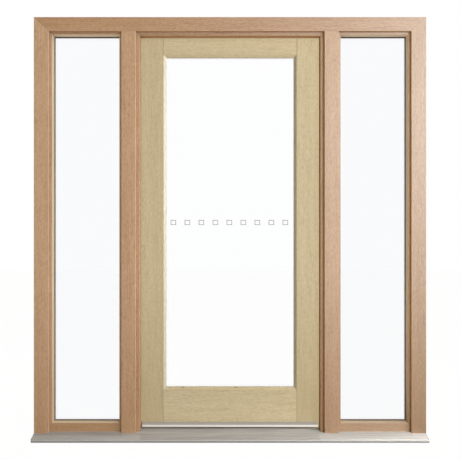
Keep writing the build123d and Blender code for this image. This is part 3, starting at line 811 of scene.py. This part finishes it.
finished = add(screw, "GeometryNodeSetMaterial", None, screw_heads)
screw.links.new(finished.outputs[0], end.inputs[0])


def hinge_screws(name, body, flaps, face_side):
    """The screws in one body's flaps, with their heads just proud of the flaps' faces."""
    x = pin_middle + face_side * FLAP_GAP / 2
    flap_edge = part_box(flaps)[0][1]
    places = []
    for foot in hinge_feet:
        for number, above in enumerate(SCREW_RISES):
            places.append((x, flap_edge + SCREW_DEPTHS[number % 2], foot + above))
    spots_mesh = bpy.data.meshes.new(name + "_places")
    spots_mesh.from_pydata(places, [], [])
    sizes = {"Radius": SCREW_RADIUS, "Head": SCREW_HEAD, "Slot": SCREW_SLOT}
    screws = grown(name, spots_mesh, screw, sizes)
    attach(screws, body)


hinge_screws("frame_hinge_screws", "frame", "hinge_frame_flaps", -1)
hinge_screws("leaf_hinge_screws", "leaf", "hinge_leaf_flaps", 1)

# The floor, the light and the camera
# The doorset stands on a plain pale floor before a white surround. Soft lamps light it from the right, from
# above, from below and from behind, and most are kept to a few pieces, because the frame throws no shadow
# on the leaf. The camera looks straight at it from its own distance, level with its middle.

WHITE = (1, 1, 1, 1)
FLOOR_REACH = 14.0
FLOOR_CORNERS = ((-1, -1), (1, -1), (1, 1), (-1, 1))
FLOOR_TONE = (0.72, 0.7, 0.67, 1.0)
FLOOR_WHITE_SHARE = 0.94
FLOOR_GLOW = 1.035
SIGHT_RAYS = ("Is Camera Ray", "Is Glossy Ray", "Is Transmission Ray")


def in_sight(finish):
    """1 for what the camera sees, straight, mirrored or through glass, and 0 for what lights the door."""
    seen, mirrored, passed = [finish.node("ShaderNodeLightPath", output=ray) for ray in SIGHT_RAYS]
    return (seen + mirrored + passed).clamped()


floor_mesh = bpy.data.meshes.new("floor")
floor_mesh.from_pydata([(x * FLOOR_REACH, y * FLOOR_REACH, 0) for x, y in FLOOR_CORNERS], [], [(0, 1, 2, 3)])
floor = bpy.data.objects.new("floor", floor_mesh)
bpy.context.scene.collection.objects.link(floor)
pale = Finish("pale_floor")
white_share = in_sight(pale) * FLOOR_WHITE_SHARE
matt = pale.node("ShaderNodeBsdfDiffuse", None, {"Color": FLOOR_TONE}, output="BSDF")
white = pale.node("ShaderNodeEmission", None, {"Color": WHITE, "Strength": FLOOR_GLOW}, output="Emission")
pale_surface = pale.node("ShaderNodeMixShader", None, {0: white_share, 1: matt, 2: white})
floor_mesh.materials.append(pale.node_output(pale_surface))

SURROUND_TONE = (1.0, 0.91, 0.78, 1.0)
SURROUND_GLOW = 0.28

world = bpy.data.worlds.new("surround")
bpy.context.scene.world = world
world.use_nodes = True
world.node_tree.nodes.clear()


class Surround(Finish):
    """The world's own node tree, used as a finish is."""

    def __init__(self, tree):
        self.tree = tree


sky = Surround(world.node_tree)
shown = in_sight(sky)
warm = sky.node("ShaderNodeBackground", None, {"Color": SURROUND_TONE, "Strength": SURROUND_GLOW})
white = sky.node("ShaderNodeBackground", None, {"Color": WHITE, "Strength": 1.0})
both = sky.node("ShaderNodeMixShader", None, {0: shown, 1: warm, 2: white})
sky.node("ShaderNodeOutputWorld", None, {"Surface": both})

MIDDLE = Vector((0.0, 0.0, 1.1))


def lamp(name, kind, place, strength, lit=None, shading=None, **settings):
    """A lamp aimed at the door's middle. It lights only the pieces in lit and is shaded only by those in
    shading, where they are given. Glass shows no lamp through itself."""
    data = bpy.data.lights.new(name, kind)
    data.energy = strength
    for setting, value in settings.items():
        setattr(data, setting, value)
    made = bpy.data.objects.new(name, data)
    bpy.context.scene.collection.objects.link(made)
    made.location = place
    made.rotation_euler = (MIDDLE - Vector(place)).to_track_quat("-Z", "Y").to_euler()
    made.visible_transmission = False
    made.light_linking.receiver_collection = lit
    made.light_linking.blocker_collection = shading
    return made


def pieces_of(body):
    """Every piece of one body, as a list."""
    return [piece for piece in frame["bodies"][body].children if piece.type == "MESH"]


def pieces_named(*names):
    """Carried-over pieces by their names, as a list."""
    return [frame["nodes"][name] for name in names]


def group_of(name, pieces):
    """A collection of pieces, which a lamp can be kept to."""
    group = bpy.data.collections.new(name)
    for piece in pieces:
        group.objects.link(piece)
    return group


MEMBER_KINDS = ("jamb", "mullion", "sidelight_rail", "head")
SHINY_RIGHT = ("mullion_right", "jamb_right", "sidelight_rail_right")
member_names = [name for name in frame["nodes"] if name.startswith(MEMBER_KINDS)]
side_lit = [piece for piece in pieces_of("frame") if piece not in pieces_named("jamb_right")]
shiny = pieces_named("head", *SHINY_RIGHT, "sill", "sill_end_caps", "leaf_outer_upright_beads")
leaf_group = group_of("leaf_pieces", pieces_of("leaf"))
door_group = group_of("all_pieces", pieces_of("leaf") + pieces_of("frame"))
metal_group = group_of("metal_pieces", pieces_named("sill", "sill_end_caps"))
shiny_group = group_of("shiny_pieces", shiny)
stand_group = group_of("frame_and_floor", pieces_of("frame") + [floor])
side_lit_group = group_of("side_lit_pieces", side_lit)
member_group = group_of("frame_members", pieces_named(*member_names))
head_group = group_of("head_piece", pieces_named("head"))
right_jamb_group = group_of("right_jamb_piece", pieces_named("jamb_right"))

frame_key = lamp("frame_key_lamp", "AREA", (1.6, -4.6, 2.4), 101.0, stand_group, shape="SQUARE", size=0.7)
frame_key.visible_glossy = False
lamp("side_lamp", "SUN", (5.0, -2.4, 2.2), 0.38 * math.pi, side_lit_group, angle=0.4)
lamp("top_lamp", "SUN", (0.6, -1.6, 5.0), 0.44 * math.pi, member_group, angle=0.5)
lamp("under_lamp", "SUN", (0.0, -0.7, -2.9), 0.32 * math.pi, head_group, door_group, angle=0.5)
lamp("leaf_key_lamp", "AREA", (6.3, -5.3, 2.6), 975.0, leaf_group, leaf_group, shape="SQUARE", size=1.6)
lamp("bounce_lamp", "SUN", (-2.4, -2.0, -2.1), 0.18 * math.pi, side_lit_group, door_group, angle=0.6)
lamp("right_bounce_lamp", "SUN", (-2.7, -1.5, -1.2), 0.38 * math.pi, right_jamb_group, door_group, angle=0.6)
lamp("sill_side_lamp", "AREA", (1.35, -0.6, 0.45), 21.0, metal_group, shape="SQUARE", size=0.4)
back_lamp = lamp("back_lamp", "SUN", (0.6, 8.0, 3.5), 0.55 * math.pi, angle=0.6)
back_lamp.visible_glossy = False
sheen = lamp("sheen_panel", "AREA", (3.2, -3.2, 2.2), 1420.0, shiny_group, shape="SQUARE", size=1.9)
sheen.visible_diffuse = False

FOCAL_PIXELS = 664.0
FRAME_PIXELS = 460.0
SENSOR = 36.0
CAMERA_DISTANCE = 3.300
CAMERA_HEIGHT = 1.042
camera_data = bpy.data.cameras.new("camera")
camera_data.sensor_width = SENSOR
camera_data.lens = FOCAL_PIXELS / FRAME_PIXELS * SENSOR
camera = bpy.data.objects.new("camera", camera_data)
bpy.context.scene.collection.objects.link(camera)
camera.location = (0.0, -CAMERA_DISTANCE, CAMERA_HEIGHT)
camera.rotation_euler = (math.pi / 2, 0.0, 0.0)
bpy.context.scene.camera = camera
bpy.context.scene.view_settings.view_transform = "Standard"
